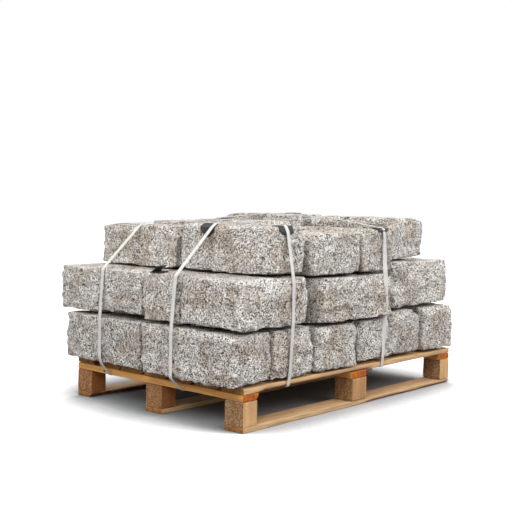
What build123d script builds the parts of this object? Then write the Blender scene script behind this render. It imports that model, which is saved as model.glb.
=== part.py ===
from build123d import *
from collections import namedtuple
from math import cos, hypot, radians, sin, sqrt, tan
from random import Random
import os

# A pallet of granite walling stones. Millimetres, +Z up, +X along the pallet's long side.
# The origin is the middle of the pallet's underside.

os.makedirs("parts", exist_ok=True)

# Pallet: bottom boards along X, blocks, stringer boards along Y, deck boards along X
PALLET_LENGTH = 1200
PALLET_WIDTH = 800
BOTTOM_BOARD_THICKNESS = 17
BOTTOM_BOARD_WIDTH = 80
BLOCK_HEIGHT = 78
BLOCK_WIDTH = 78
END_BLOCK_LENGTH = 65
MIDDLE_BLOCK_LENGTH = 84
STRINGER_THICKNESS = 23
STRINGER_OVERLAP = 7
DECK_BOARD_THICKNESS = 19
DECK_BOARD_WIDTH = 96
DECK_BOARD_COUNT = 7
BLOCK_CHAMFER = 2

# Stones: they lie dry on one another, edges struck off with a hammer
SEAT_GAP = 0.3
PLAN_WANDER = 5
PITCH_INSET = (3, 13)
PITCH_DROP = (8, 34)
PITCH_SKEW = 0.04
CORNER_CUT = (4, 11)

# Heights of the sorted stones: those that carry one column between them are level
RISE_1_LEFT = 163
RISE_1_MIDDLE = 155
RISE_1_RIGHT = 171
RISE_2_LEFT = 163
RISE_2_MIDDLE_FRONT = 158
RISE_2_MIDDLE_REAR = 171
RISE_2_RIGHT = 177

# Where rows and columns begin: so far out past the pallet's left end or front edge, or in from it
FRONT_1_PAST_END = 55
REAR_1_PAST_END = 48
COLUMNS_2_PAST_FRONT = 20
RIGHT_2_IN_FROM_FRONT = 8
COURSE_3_IN_FROM_END = 124

# Straps and the plastic angles under them
STRAP_WIDTH = 17
STRAP_THICKNESS = 1.2
STRAP_REAR_IN_FROM_REAR = 175
STRAP_FRONT_IN_FROM_FRONT = 265
STRAP_LEFT_IN_FROM_END = 208
STRAP_RIGHT_PAST_MIDDLE = 130
PROTECTOR_WIDTH = 66
PROTECTOR_LEG = 36
PROTECTOR_THICKNESS = 3
PROTECTOR_TAB_RADIUS = 14
PROTECTOR_SLIP = 22
SLIGHT_BEND = 0.1
TOP_BIAS = 1

# A spare plastic angle lies folded on the ledge that course 3 leaves at the left end
SPARE_IN_FROM_END = 10
SPARE_IN_FROM_FRONT = 414
SPARE_HEADING = -68
SPARE_FOLD = 40

# Heights that follow from the pallet's boards
block_foot = BOTTOM_BOARD_THICKNESS
stringer_foot = block_foot + BLOCK_HEIGHT
deck_foot = stringer_foot + STRINGER_THICKNESS
deck_top = deck_foot + DECK_BOARD_THICKNESS

# The pallet's edges
left_end = -PALLET_LENGTH / 2
front_edge = -PALLET_WIDTH / 2


def board(name, length, width, thickness, middle, foot):
    """A sawn board laid flat, its middle at (x, y) and its underside at the foot height."""
    with BuildPart() as piece:
        with BuildSketch(Plane.XY.offset(foot)):
            with Locations(middle):
                Rectangle(length, width)
        extrude(amount=thickness)
    keep(piece, name)
    return piece.part


def keep(piece, name):
    """Label a finished piece and write it to its own file."""
    piece.part.label = name
    export_step(piece.part, f"parts/{name}.step")


# Pallet timber
row_y = (BOTTOM_BOARD_WIDTH - PALLET_WIDTH) / 2
rows = {"front": row_y, "middle": 0, "rear": -row_y}
for side, y in rows.items():
    board(f"bottom_board_{side}", PALLET_LENGTH, BOTTOM_BOARD_WIDTH, BOTTOM_BOARD_THICKNESS, (0, y), 0)

end_block_x = (PALLET_LENGTH - END_BLOCK_LENGTH) / 2
block_rows_y = (PALLET_WIDTH - BLOCK_WIDTH) / 2
columns = {
    "left": (-end_block_x, END_BLOCK_LENGTH),
    "middle": (0, MIDDLE_BLOCK_LENGTH),
    "right": (end_block_x, END_BLOCK_LENGTH),
}
for side, (x, length) in columns.items():
    with BuildPart() as blocks:
        with BuildSketch(Plane.XY.offset(block_foot)):
            with Locations((x, -block_rows_y), (x, 0), (x, block_rows_y)):
                Rectangle(length, BLOCK_WIDTH)
        extrude(amount=BLOCK_HEIGHT)
        chamfer(blocks.edges().filter_by(Axis.Z), BLOCK_CHAMFER)
    keep(blocks, f"blocks_{side}")

    stringer_width = length + STRINGER_OVERLAP
    outward = (x > 0) - (x < 0)
    stringer_x = x - outward * STRINGER_OVERLAP / 2
    board(
        f"stringer_{side}", stringer_width, PALLET_WIDTH, STRINGER_THICKNESS, (stringer_x, 0), stringer_foot
    )

deck_pitch = (PALLET_WIDTH - DECK_BOARD_WIDTH) / (DECK_BOARD_COUNT - 1)
for number in range(DECK_BOARD_COUNT):
    y = (DECK_BOARD_WIDTH - PALLET_WIDTH) / 2 + number * deck_pitch
    board(
        f"deck_board_{number + 1}", PALLET_LENGTH, DECK_BOARD_WIDTH, DECK_BOARD_THICKNESS, (0, y), deck_foot
    )


def struck_off(outward, at, bed, up, inset, drop, skew):
    """Cut away one long edge: a plane from inset on the bed to drop down the face, a little askew."""
    along = Vector(-outward.Y, outward.X, 0)
    slope = outward * drop + Vector(0, 0, up * inset) + along * (skew * drop)
    on_the_face = at + Vector(0, 0, bed - up * drop)
    split(bisect_by=Plane(origin=on_the_face, z_dir=slope), keep=Keep.BOTTOM)


def walling_stone(name, x_span, y_span, bed, rise, broken=()):
    """
    A granite block split to size: an uneven four-sided plan drawn up from its bed, every long edge struck
    off with the hammer, and its upright corners nicked. Each entry of broken is (side, which bed, inset,
    drop) and is struck a second time, harder; side is +x, -x, +y or -y, which bed is 1 for top, -1 for foot.
    """
    wander = Random(name)

    def pushed_in():
        return wander.uniform(0, PLAN_WANDER)

    west, east = x_span
    south, north = y_span
    plan = (
        (west + pushed_in(), south + pushed_in()),
        (east - pushed_in(), south + pushed_in()),
        (east - pushed_in(), north - pushed_in()),
        (west + pushed_in(), north - pushed_in()),
    )
    centre = ((west + east) / 2, (south + north) / 2)
    faces = {
        "-x": (Vector(-1, 0, 0), Vector(west, centre[1], 0)),
        "+x": (Vector(1, 0, 0), Vector(east, centre[1], 0)),
        "-y": (Vector(0, -1, 0), Vector(centre[0], south, 0)),
        "+y": (Vector(0, 1, 0), Vector(centre[0], north, 0)),
    }
    with BuildPart() as stone:
        with BuildSketch(Plane.XY.offset(bed)):
            with BuildLine():
                Polyline(*plan, close=True)
            make_face()
        extrude(amount=rise)
        for outward, at in faces.values():
            for level, up in ((bed, -1), (bed + rise, 1)):
                inset = wander.uniform(*PITCH_INSET)
                drop = wander.uniform(*PITCH_DROP)
                skew = wander.uniform(-PITCH_SKEW, PITCH_SKEW)
                struck_off(outward, at, level, up, inset, drop, skew)
        for side, up, inset, drop in broken:
            outward, at = faces[side]
            struck_off(outward, at, bed + rise if up > 0 else bed, up, inset, drop, 0)
        for x, y in plan:
            corner_cut = wander.uniform(*CORNER_CUT)
            outward = Vector(x - centre[0], 0, 0).normalized() + Vector(0, y - centre[1], 0).normalized()
            at = Vector(x, y, bed) - outward * (corner_cut / 2)
            split(bisect_by=Plane(origin=at, z_dir=outward), keep=Keep.BOTTOM)
    keep(stone, name)
    return stone.part


# One stone of a row: its size along the row and the open joint after it, how far its near face stands
# back from the line or from the stones ahead of it, its reach across the row, its height, and the edges
# broken off it
Stone = namedtuple("Stone", "name size joint set_back reach rise broken", defaults=((),))

# A stone in its place: its solid, its spans along X and Y, and the height of its top
Laid = namedtuple("Laid", "solid spans top")

ALONG_X, ALONG_Y = 0, 1


def meet(span, other):
    """Whether two spans overlap."""
    return span[0] < other[1] and other[0] < span[1]


def lay_row(stones, way, start, line, below=(), ahead=()):
    """
    Lay stones one after another from start, along X or Y. Each stands back from the line, or from the
    stones ahead of it, and lies on the deck or on the highest of the stones below it.
    """
    laid = []
    at = start
    for stone in stones:
        run = (at, at + stone.size)
        backs = [other.spans[1 - way][1] for other in ahead if meet(run, other.spans[way])]
        near = max(backs, default=line) + stone.set_back
        across = (near, near + stone.reach)
        spans = (run, across) if way == ALONG_X else (across, run)
        tops = [other.top for other in below if all(map(meet, spans, other.spans))]
        bed = max(tops, default=deck_top) + SEAT_GAP
        solid = walling_stone(stone.name, *spans, bed, stone.rise, stone.broken)
        laid.append(Laid(solid, spans, bed + stone.rise))
        at += stone.size + stone.joint
    return laid


# Course 1: two rows of six, every stone laid across the pallet
front_1 = (
    Stone("stone_1_front_a", 181, 6, -7, 425, RISE_1_LEFT, (("-y", -1, 8, 18),)),
    Stone("stone_1_front_b", 200, 8, -9, 407, RISE_1_LEFT),
    Stone("stone_1_front_c", 238, 13, -12, 418, RISE_1_MIDDLE, (("+x", 1, 16, 30),)),
    Stone("stone_1_front_d", 195, 6, -6, 398, RISE_1_MIDDLE, (("+x", -1, 10, 40), ("-y", -1, 60, 8))),
    Stone(
        "stone_1_front_e", 198, 12, -2, 406, RISE_1_RIGHT,
        (("-y", -1, 50, 8), ("+x", 1, 30, 60), ("+x", -1, 14, 36)),
    ),
    Stone("stone_1_front_f", 218, 0, -8, 420, RISE_1_RIGHT, (("+x", 1, 14, 24),)),
)
rear_1 = (
    Stone("stone_1_rear_a", 198, 9, 10, 396, RISE_1_LEFT, (("-x", -1, 14, 30),)),
    Stone("stone_1_rear_b", 204, 8, 16, 394, RISE_1_LEFT),
    Stone("stone_1_rear_c", 206, 12, 24, 398, RISE_1_MIDDLE),
    Stone("stone_1_rear_d", 190, 10, 32, 386, RISE_1_MIDDLE),
    Stone("stone_1_rear_e", 188, 16, 28, 390, RISE_1_RIGHT),
    Stone("stone_1_rear_f", 205, 0, 14, 392, RISE_1_RIGHT),
)
laid_front_1 = lay_row(front_1, ALONG_X, left_end - FRONT_1_PAST_END, front_edge)
laid_rear_1 = lay_row(rear_1, ALONG_X, left_end - REAR_1_PAST_END, front_edge, ahead=laid_front_1)
course_1 = laid_front_1 + laid_rear_1

# Course 2: three columns of four, every stone laid along the pallet
left_2 = (
    Stone(
        "stone_2_left_a", 274, 3, -40, 332, RISE_2_LEFT,
        (("-y", 1, 22, 20), ("-x", -1, 60, 8), ("-y", -1, 50, 6)),
    ),
    Stone("stone_2_left_b", 176, 6, -34, 342, RISE_2_LEFT, (("-x", 1, 10, 16), ("-x", -1, 40, 5))),
    Stone("stone_2_left_c", 212, 8, -35, 335, RISE_2_LEFT, (("-x", -1, 90, 14),)),
    Stone("stone_2_left_d", 210, 0, -33, 349, RISE_2_LEFT, (("+y", 1, 12, 20), ("-x", -1, 70, 9))),
)
middle_2 = (
    Stone("stone_2_middle_a", 206, 8, 71, 409, RISE_2_MIDDLE_FRONT, (("-x", -1, 12, 22), ("-y", -1, 60, 8))),
    Stone("stone_2_middle_b", 190, 10, 46, 406, RISE_2_MIDDLE_FRONT),
    Stone("stone_2_middle_c", 204, 12, 58, 400, RISE_2_MIDDLE_REAR),
    Stone("stone_2_middle_d", 214, 0, 52, 402, RISE_2_MIDDLE_REAR),
)
right_2 = (
    Stone(
        "stone_2_right_a", 197, 10, 40, 380, RISE_2_RIGHT,
        (("-y", -1, 60, 8), ("+x", 1, 14, 44), ("+x", -1, 12, 36)),
    ),
    Stone("stone_2_right_b", 200, 10, 50, 368, RISE_2_RIGHT),
    Stone("stone_2_right_c", 192, 12, 26, 376, RISE_2_RIGHT),
    Stone("stone_2_right_d", 198, 0, 34, 376, RISE_2_RIGHT),
)
columns_from = front_edge - COLUMNS_2_PAST_FRONT
right_from = front_edge + RIGHT_2_IN_FROM_FRONT
laid_left_2 = lay_row(left_2, ALONG_Y, columns_from, left_end, course_1)
laid_middle_2 = lay_row(middle_2, ALONG_Y, columns_from, left_end, course_1, laid_left_2)
laid_right_2 = lay_row(right_2, ALONG_Y, right_from, left_end, course_1, laid_middle_2)
course_2 = laid_left_2 + laid_middle_2 + laid_right_2

# Course 3: two rows of four, shorter than the courses below, laid across the pallet again
front_3 = (
    Stone(
        "stone_3_front_a", 188, 26, 15, 416, 160,
        (("-x", 1, 20, 14), ("-x", -1, 60, 5), ("-y", -1, 50, 7)),
    ),
    Stone("stone_3_front_b", 266, 10, 0, 388, 149, (("+x", 1, 40, 14), ("-y", -1, 50, 7))),
    Stone("stone_3_front_c", 186, 50, 4, 382, 158, (("-x", 1, 60, 18), ("-y", -1, 50, 6))),
    Stone("stone_3_front_d", 222, 0, 50, 394, 160, (("+x", 1, 60, 16), ("-y", -1, 80, 9))),
)
rear_3 = (
    Stone("stone_3_rear_a", 200, 14, 2, 402, 146, (("-y", -1, 60, 16), ("+y", 1, 50, 10))),
    Stone("stone_3_rear_b", 202, 15, 24, 392, 158),
    Stone("stone_3_rear_c", 206, 27, 22, 402, 162),
    Stone("stone_3_rear_d", 200, 0, 10, 387, 163, (("+y", 1, 60, 10),)),
)
course_3_from = left_end + COURSE_3_IN_FROM_END
laid_front_3 = lay_row(front_3, ALONG_X, course_3_from, front_edge, course_2)
laid_rear_3 = lay_row(rear_3, ALONG_X, course_3_from, front_edge, course_2, laid_front_3)
course_3 = laid_front_3 + laid_rear_3

top_stones = [stone.solid for stone in course_3]
all_stones = [stone.solid for stone in course_1 + course_2] + top_stones


def corners_in_slab(solids, plane, width):
    """Where the solids' edges begin, end, enter or leave a slab about the plane, as points in the plane."""
    found = []
    half = width / 2
    for solid in solids:
        for edge in solid.edges():
            a, b = (plane.to_local_coords(edge @ end) for end in (0, 1))
            if max(a.Z, b.Z) < -half or min(a.Z, b.Z) > half:
                continue
            for start, end in ((a, b), (b, a)):
                beyond = max(abs(start.Z) - half, 0)
                share = beyond / abs(end.Z - start.Z) if beyond else 0
                met = start + (end - start) * share
                found.append((met.X, met.Y))
    return found


def turn(a, b, c):
    """Twice the area of the triangle a, b, c: positive where the path turns left."""
    return (b[0] - a[0]) * (c[1] - a[1]) - (b[1] - a[1]) * (c[0] - a[0])


def taut(points):
    """The line that a tight strap takes round the points: their convex hull, anticlockwise."""
    points = sorted(set((round(x, 3), round(y, 3)) for x, y in points))
    halves = []
    for ordered in (points, points[::-1]):
        chain = []
        for point in ordered:
            while len(chain) > 1 and turn(chain[-2], chain[-1], point) <= 0:
                chain.pop()
            chain.append(point)
        halves.append(chain[:-1])
    return without_slight_bends(halves[0] + halves[1])


def without_slight_bends(hull):
    """Leave out a corner that stands hardly off the line past it."""
    kept = []
    for number, point in enumerate(hull):
        before = kept[-1] if kept else hull[-1]
        after = hull[(number + 1) % len(hull)]
        span = hypot(after[0] - before[0], after[1] - before[1])
        if turn(before, point, after) / span > SLIGHT_BEND:
            kept.append(point)
    return kept


def grown(hull, amount):
    """The same closed line moved outwards by amount, its corners mitred."""
    moved = []
    for number, point in enumerate(hull):
        before = hull[number - 1]
        after = hull[(number + 1) % len(hull)]
        normals = []
        for a, b in ((before, point), (point, after)):
            length = hypot(b[0] - a[0], b[1] - a[1])
            normals.append(((b[1] - a[1]) / length, (a[0] - b[0]) / length))
        (ax, ay), (bx, by) = normals
        stretch = amount / (1 + ax * bx + ay * by)
        moved.append((point[0] + (ax + bx) * stretch, point[1] + (ay + by) * stretch))
    return moved


def top_corner(hull, side):
    """The corner of the line that lies furthest up and to the given side."""
    return max(hull, key=lambda point: side * point[0] + TOP_BIAS * point[1])


def protector(plane, hull, side):
    """
    A bent plastic plate on the top stones' corner: seen along the corner's bisector, it is a rectangle
    with rounded tabs.
    """
    bend = plane.from_local_coords(top_corner(hull, side))
    bisector = (plane.x_dir * side + plane.y_dir).normalized()
    across = Plane(origin=bend, x_dir=plane.z_dir, z_dir=bisector)
    with BuildPart() as plate:
        with BuildSketch(plane):
            for amount, mode in ((SEAT_GAP + PROTECTOR_THICKNESS, Mode.ADD), (SEAT_GAP, Mode.SUBTRACT)):
                with BuildLine():
                    Polyline(*grown(hull, amount), close=True)
                make_face(mode=mode)
        extrude(amount=PROTECTOR_WIDTH / 2, both=True)
        with BuildSketch(across):
            RectangleRounded(PROTECTOR_WIDTH, PROTECTOR_LEG * sqrt(2), PROTECTOR_TAB_RADIUS)
        extrude(amount=PROTECTOR_LEG, both=True, mode=Mode.INTERSECT)
    return plate


def strap(name, plane, anchors, protected, crossed=()):
    """
    A flat strap drawn tight round the stones and the pallet's timber. The anchors are the timber corners
    that it turns under; protected maps a protector's name to the side it lies at and how far it has
    slipped along the edge there; crossed are the straps that this one lies over on top of the load.
    """
    pressed = taut(corners_in_slab(all_stones, plane, PROTECTOR_WIDTH) + anchors)
    for x, y in corners_in_slab(crossed, plane, PROTECTOR_WIDTH):
        if y > deck_top:
            pressed.append((x, y))
    plates = {}
    for plate_name, (side, slip) in protected.items():
        beside = plane.offset(slip)
        top_hull = taut(corners_in_slab(top_stones, beside, PROTECTOR_WIDTH))
        plates[plate_name] = protector(beside, top_hull, side)
        for vertex in plates[plate_name].vertices():
            local = plane.to_local_coords(vertex.center())
            pressed.append((local.X, local.Y))
    inside = grown(taut(pressed), SEAT_GAP)
    outside = grown(inside, STRAP_THICKNESS)
    with BuildPart() as band:
        with BuildSketch(plane):
            with BuildLine():
                Polyline(*outside, close=True)
            make_face()
            with BuildLine():
                Polyline(*inside, close=True)
            make_face(mode=Mode.SUBTRACT)
        extrude(amount=STRAP_WIDTH / 2, both=True)
    keep(band, name)
    for plate_name, plate in plates.items():
        keep(plate, f"edge_protector_{plate_name}")
    return band.part


# Lengthways straps turn under the stringers; crossways straps lie over them and turn under the deck
stringer_ends = [(side * PALLET_LENGTH / 2, z) for side in (-1, 1) for z in (stringer_foot, deck_top)]
deck_edges = [(side * PALLET_WIDTH / 2, z) for side in (-1, 1) for z in (deck_foot, deck_top)]
strap_rear = strap(
    "strap_rear",
    Plane.XZ.offset(STRAP_REAR_IN_FROM_REAR + front_edge),
    stringer_ends,
    {"rear_right": (1, 0)},
)
strap_front = strap(
    "strap_front",
    Plane.XZ.offset(-front_edge - STRAP_FRONT_IN_FROM_FRONT),
    stringer_ends,
    {"front_left": (-1, -PROTECTOR_SLIP), "front_right": (1, 0)},
)
lengthways = [strap_rear, strap_front]
strap(
    "strap_left",
    Plane.YZ.offset(left_end + STRAP_LEFT_IN_FROM_END),
    deck_edges,
    {"left_front": (-1, 0), "left_rear": (1, 0)},
    lengthways,
)
strap(
    "strap_right",
    Plane.YZ.offset(STRAP_RIGHT_PAST_MIDDLE),
    deck_edges,
    {"right_front": (-1, 0), "right_rear": (1, 0)},
    lengthways,
)

# The spare angle: one leg lies on the ledge, the other stands up from the fold
fold = radians(SPARE_FOLD)
lying_tip = (PROTECTOR_LEG, 0)
raised_tip = (PROTECTOR_LEG * cos(fold), PROTECTOR_LEG * sin(fold))
ledge = max(stone.top for stone in laid_left_2) + SEAT_GAP
across_fold = Vector(1, 0, 0).rotate(Axis.Z, SPARE_HEADING)
profile = Plane(
    origin=(left_end + SPARE_IN_FROM_END, front_edge + SPARE_IN_FROM_FRONT, ledge),
    x_dir=across_fold,
    z_dir=across_fold.cross(Vector(0, 0, 1)),
)
with BuildPart() as spare:
    with BuildSketch(profile):
        with BuildLine():
            Polyline(
                (0, 0),
                lying_tip,
                (PROTECTOR_LEG, PROTECTOR_THICKNESS),
                (PROTECTOR_THICKNESS / tan(fold / 2), PROTECTOR_THICKNESS),
                (
                    raised_tip[0] + PROTECTOR_THICKNESS * sin(fold),
                    raised_tip[1] - PROTECTOR_THICKNESS * cos(fold),
                ),
                raised_tip,
                close=True,
            )
        make_face()
    extrude(amount=PROTECTOR_WIDTH / 2, both=True)
keep(spare, "edge_protector_spare")
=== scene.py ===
# %% [markdown]
# # A pallet of granite walling stones
#
# Thirty-two split granite blocks lie dry in three courses on a wooden pallet. Four woven straps hold
# them, and black plastic angles keep the straps off the top edges. The true sizes come from the CAD
# frame, which this lesson loads first. Every step after that gives one part of the pallet its surface
# and its finish. Lengths are in metres, +Z is up, and +X runs along the pallet's long side.

# %% Load the frame
from math import cos, pi, sin

import bpy
import numpy as np
from mathutils import Matrix, Vector


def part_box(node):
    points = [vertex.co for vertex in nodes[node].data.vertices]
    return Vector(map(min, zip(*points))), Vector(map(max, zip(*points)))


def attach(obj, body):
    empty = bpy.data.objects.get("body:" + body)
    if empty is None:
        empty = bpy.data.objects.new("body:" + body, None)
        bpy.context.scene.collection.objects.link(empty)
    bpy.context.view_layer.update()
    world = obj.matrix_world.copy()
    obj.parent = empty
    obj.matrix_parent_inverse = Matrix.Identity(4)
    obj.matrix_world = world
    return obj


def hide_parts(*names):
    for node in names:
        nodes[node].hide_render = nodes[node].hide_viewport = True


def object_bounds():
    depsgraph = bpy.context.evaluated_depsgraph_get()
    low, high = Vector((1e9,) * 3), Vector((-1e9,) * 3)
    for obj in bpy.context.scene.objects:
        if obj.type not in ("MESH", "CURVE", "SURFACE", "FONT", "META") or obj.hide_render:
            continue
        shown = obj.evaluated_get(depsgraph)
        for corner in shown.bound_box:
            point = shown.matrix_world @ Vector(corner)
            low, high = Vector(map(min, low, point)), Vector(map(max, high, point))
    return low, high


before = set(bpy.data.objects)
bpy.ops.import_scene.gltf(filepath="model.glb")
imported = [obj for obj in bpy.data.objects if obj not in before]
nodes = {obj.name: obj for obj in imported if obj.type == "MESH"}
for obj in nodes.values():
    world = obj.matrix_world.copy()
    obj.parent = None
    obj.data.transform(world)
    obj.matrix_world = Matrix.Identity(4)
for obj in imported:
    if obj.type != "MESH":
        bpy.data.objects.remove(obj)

cad_low, cad_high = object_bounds()
scene = bpy.context.scene
print("nodes loaded:", len(nodes), "box:", tuple(cad_low), tuple(cad_high))

# %% [markdown]
# ## The camera
#
# The pallet is seen from its near left corner, from a little above the top course, through a longish
# lens. The camera is a position and three turns: it looks down a little, and it leans by one degree.
# Its own axes are worked out from these angles and put straight into its matrix, which leaves no doubt
# about the order of the turns.

# %% Camera
CAMERA_PLACE = Vector((-2.71622, -2.32443, 0.71710))
CAMERA_YAW, CAMERA_PITCH, CAMERA_ROLL = 0.727505, 0.0618215, -0.0182179
CAMERA_LENS = 67.54

ahead = Vector((cos(CAMERA_YAW) * cos(CAMERA_PITCH), sin(CAMERA_YAW) * cos(CAMERA_PITCH), -sin(CAMERA_PITCH)))
level_right = Vector((sin(CAMERA_YAW), -cos(CAMERA_YAW), 0))
level_down = ahead.cross(level_right)
right = level_right * cos(CAMERA_ROLL) + level_down * sin(CAMERA_ROLL)
down = level_down * cos(CAMERA_ROLL) - level_right * sin(CAMERA_ROLL)

camera_data = bpy.data.cameras.new("camera")
camera_data.lens = CAMERA_LENS
camera_data.clip_end = 50
camera = bpy.data.objects.new("camera", camera_data)
scene.collection.objects.link(camera)
camera.matrix_world = Matrix.Translation(CAMERA_PLACE) @ Matrix((right, -down, -ahead)).transposed().to_4x4()
scene.camera = camera
print("camera at", tuple(CAMERA_PLACE), "lens", CAMERA_LENS)

# %% [markdown]
# ## Short ways to write nodes
#
# Every finish below is a small network of nodes, and so is the sky. Adding each node and each link by
# hand would take pages, so one helper adds a node and fills its sockets at once. A socket is given
# either a plain value or the output of another node, and a finish then reads almost like a sum.

# %% A colour, and a network of nodes
def linear(red, green, blue):
    """A colour as a paint chart gives it, 0 to 255, turned into linear light with the screen's curve."""
    shares = (channel / 255 for channel in (red, green, blue))
    return tuple(s / 12.92 if s <= 0.04045 else ((s + 0.055) / 1.055) ** 2.4 for s in shares) + (1,)


WHITE, BLACK = (1, 1, 1, 1), (0, 0, 0, 1)


class Network:
    """A node tree, with one method for each kind of step that the finishes take."""

    def __init__(self, tree):
        self.tree = tree

    def join(self, value, socket):
        """Link an output to a socket, or set the socket to a plain value."""
        if isinstance(value, bpy.types.NodeSocket):
            self.tree.links.new(value, socket)
        else:
            socket.default_value = value

    def node(self, kind, output=0, sockets=(), **settings):
        """Add a node, set its properties, fill its sockets by name or number, and return one output."""
        made = self.tree.nodes.new(kind)
        for key, value in settings.items():
            setattr(made, key, value)
        for key, value in dict(sockets).items():
            self.join(value, made.inputs[key])
        return made.outputs[output]

    def maths(self, operation, a, b=0.0):
        return self.node("ShaderNodeMath", 0, {0: a, 1: b}, operation=operation)

    def ramp(self, value, stops, interpolation="LINEAR"):
        """A colour for each value: stops are (position, colour), or (position, grey from 0 to 1)."""
        made = self.tree.nodes.new("ShaderNodeValToRGB")
        made.color_ramp.interpolation = interpolation
        while len(made.color_ramp.elements) < len(stops):
            made.color_ramp.elements.new(0.5)
        for element, (position, colour) in zip(made.color_ramp.elements, stops):
            element.position = position
            element.color = colour if hasattr(colour, "__len__") else (colour, colour, colour, 1)
        self.join(value, made.inputs["Fac"])
        return made.outputs["Color"]

    def mix(self, share, a, b, blend="MIX"):
        """Blend two colours by a share from 0 to 1."""
        sockets = {0: share, 6: a, 7: b}
        return self.node("ShaderNodeMix", 2, sockets, data_type="RGBA", blend_type=blend, clamp_factor=True)

    def times(self, a, b):
        """One colour darkened by another, as a stain darkens what it lies on."""
        return self.mix(1.0, a, b, "MULTIPLY")


print("a mid grey in linear light:", linear(128, 128, 128))

# %% A finish
class Finish(Network):
    """A material under construction: its node tree and its one shader."""

    def __init__(self, name, roughness=0.8):
        self.material = bpy.data.materials.new(name)
        self.material.use_nodes = True
        super().__init__(self.material.node_tree)
        self.shader = self.tree.nodes["Principled BSDF"]
        self.shader.inputs["Roughness"].default_value = roughness

    def place(self):
        """The point on the object, in metres."""
        return self.node("ShaderNodeTexCoord", "Object")

    def attribute(self, name, output="Fac"):
        """A value that the mesh carries at its points."""
        return self.node("ShaderNodeAttribute", output, attribute_name=name)

    def moved(self, vector, scale=(1, 1, 1)):
        """The vector stretched along its axes."""
        return self.node("ShaderNodeMapping", 0, {0: vector, 3: scale})

    def noise(self, vector, scale, detail=3.0, roughness=0.55):
        """Cloudy noise from 0 to 1; scale is waves per metre."""
        sockets = {"Vector": vector, "Scale": scale, "Detail": detail, "Roughness": roughness}
        return self.node("ShaderNodeTexNoise", "Fac", sockets)

    def cells(self, vector, scale, output="Color"):
        """Packed grains, each with its own random colour; scale is grains per metre."""
        return self.node("ShaderNodeTexVoronoi", output, {"Vector": vector, "Scale": scale})

    def painted(self, colour, height=None, depth=0.001):
        """Connect the colour and, where given, the height that makes the bumps; returns the material."""
        self.join(colour, self.shader.inputs["Base Color"])
        if height is not None:
            bump = self.node("ShaderNodeBump", 0, {"Height": height, "Distance": depth, "Strength": 1.0})
            self.join(bump, self.shader.inputs["Normal"])
        return self.material


print("finishes can be written")

# %% [markdown]
# ## The floor
#
# The pallet stands on a plain white floor that fades into a white background, with a painted shadow:
# a soft dark pool under the load and a faint one round it. A floor lit so brightly that it turns white
# would throw its light back on the stones and wash them out. So the floor has two colours. The stones
# get light from a grey one. The camera sees a white one, darkened as painted shadow where the load
# stands close: Ambient Occlusion measures how open each spot is. It is asked twice, once with its dome
# tilted away from the load for the painted pool underneath, and once tilted towards the load for the
# painted shade along its foot.

# %% Floor
FLOOR_HALF = 14.0
FLOOR_TO_STONES = (0.22, 0.22, 0.23, 1)
FLOOR_OPEN = (1.40, 1.40, 1.41, 1)
FLOOR_PAINTED_SHADOW = (0.22, 0.24, 0.25, 1)
FLOOR_PAINTED_FOOT_SHADE = (0.42, 0.42, 0.43, 1)
AWAY_FROM_LOAD, TOWARDS_LOAD = (0.42, -0.50, 0.75), (-0.30, 0.45, 0.84)
POOL_REACH, FOOT_REACH = 0.50, 0.40

floor_mesh = bpy.data.meshes.new("floor")
near, far = -FLOOR_HALF, FLOOR_HALF
floor_mesh.from_pydata([(near, near, 0), (far, near, 0), (far, far, 0), (near, far, 0)], [], [(0, 1, 2, 3)])
floor = bpy.data.objects.new("floor", floor_mesh)
scene.collection.objects.link(floor)


def floor_openness(finish, tilt, reach):
    """How much of a tilted dome over each spot is open, from 0 to 1."""
    dome = finish.node("ShaderNodeCombineXYZ", 0, dict(enumerate(tilt)))
    return finish.node("ShaderNodeAmbientOcclusion", "AO", {"Distance": reach, "Normal": dome}, samples=12)


def white_floor():
    finish = Finish("floor_white", roughness=0.9)
    seen_by_camera = finish.node("ShaderNodeLightPath", "Is Camera Ray")
    # Painted shadow for the camera: its white is darkened where the load closes the dome, under the load and
    # along its foot
    pool_stops = ((0.0, FLOOR_PAINTED_SHADOW), (0.30, FLOOR_PAINTED_SHADOW), (0.78, FLOOR_OPEN))
    pool = finish.ramp(floor_openness(finish, AWAY_FROM_LOAD, POOL_REACH), pool_stops, "EASE")
    foot_stops = ((0.36, FLOOR_PAINTED_FOOT_SHADE), (0.84, FLOOR_OPEN))
    foot = finish.ramp(floor_openness(finish, TOWARDS_LOAD, FOOT_REACH), foot_stops)
    shaded = finish.mix(1.0, pool, foot, "DARKEN")
    finish.shader.inputs["Specular IOR Level"].default_value = 0.0
    return finish.painted(finish.mix(seen_by_camera, FLOOR_TO_STONES, shaded))


floor_mesh.materials.append(white_floor())
print("floor is", 2 * FLOOR_HALF, "m wide")

# %% [markdown]
# ## Sky and lamps
#
# The light is that of an overcast day: a sky that is brightest overhead and dull at the horizon, and
# two broad lamps of equal strength, one in front of each side that is seen. The sky alone would leave
# the sides flat, and small lamps would draw hard shadows that the real load doesn't show. The camera
# sees the sky as plain white, and so does any reflection, without more light falling on the stones.

# %% Sky and lamps
SKY_AT_HORIZON, SKY_OVERHEAD = 0.30, 1.45
LAMP_SIZE, LAMP_POWER = 2.2, 85
LAMP_AIM = (0, 0, 0.4)

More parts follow.
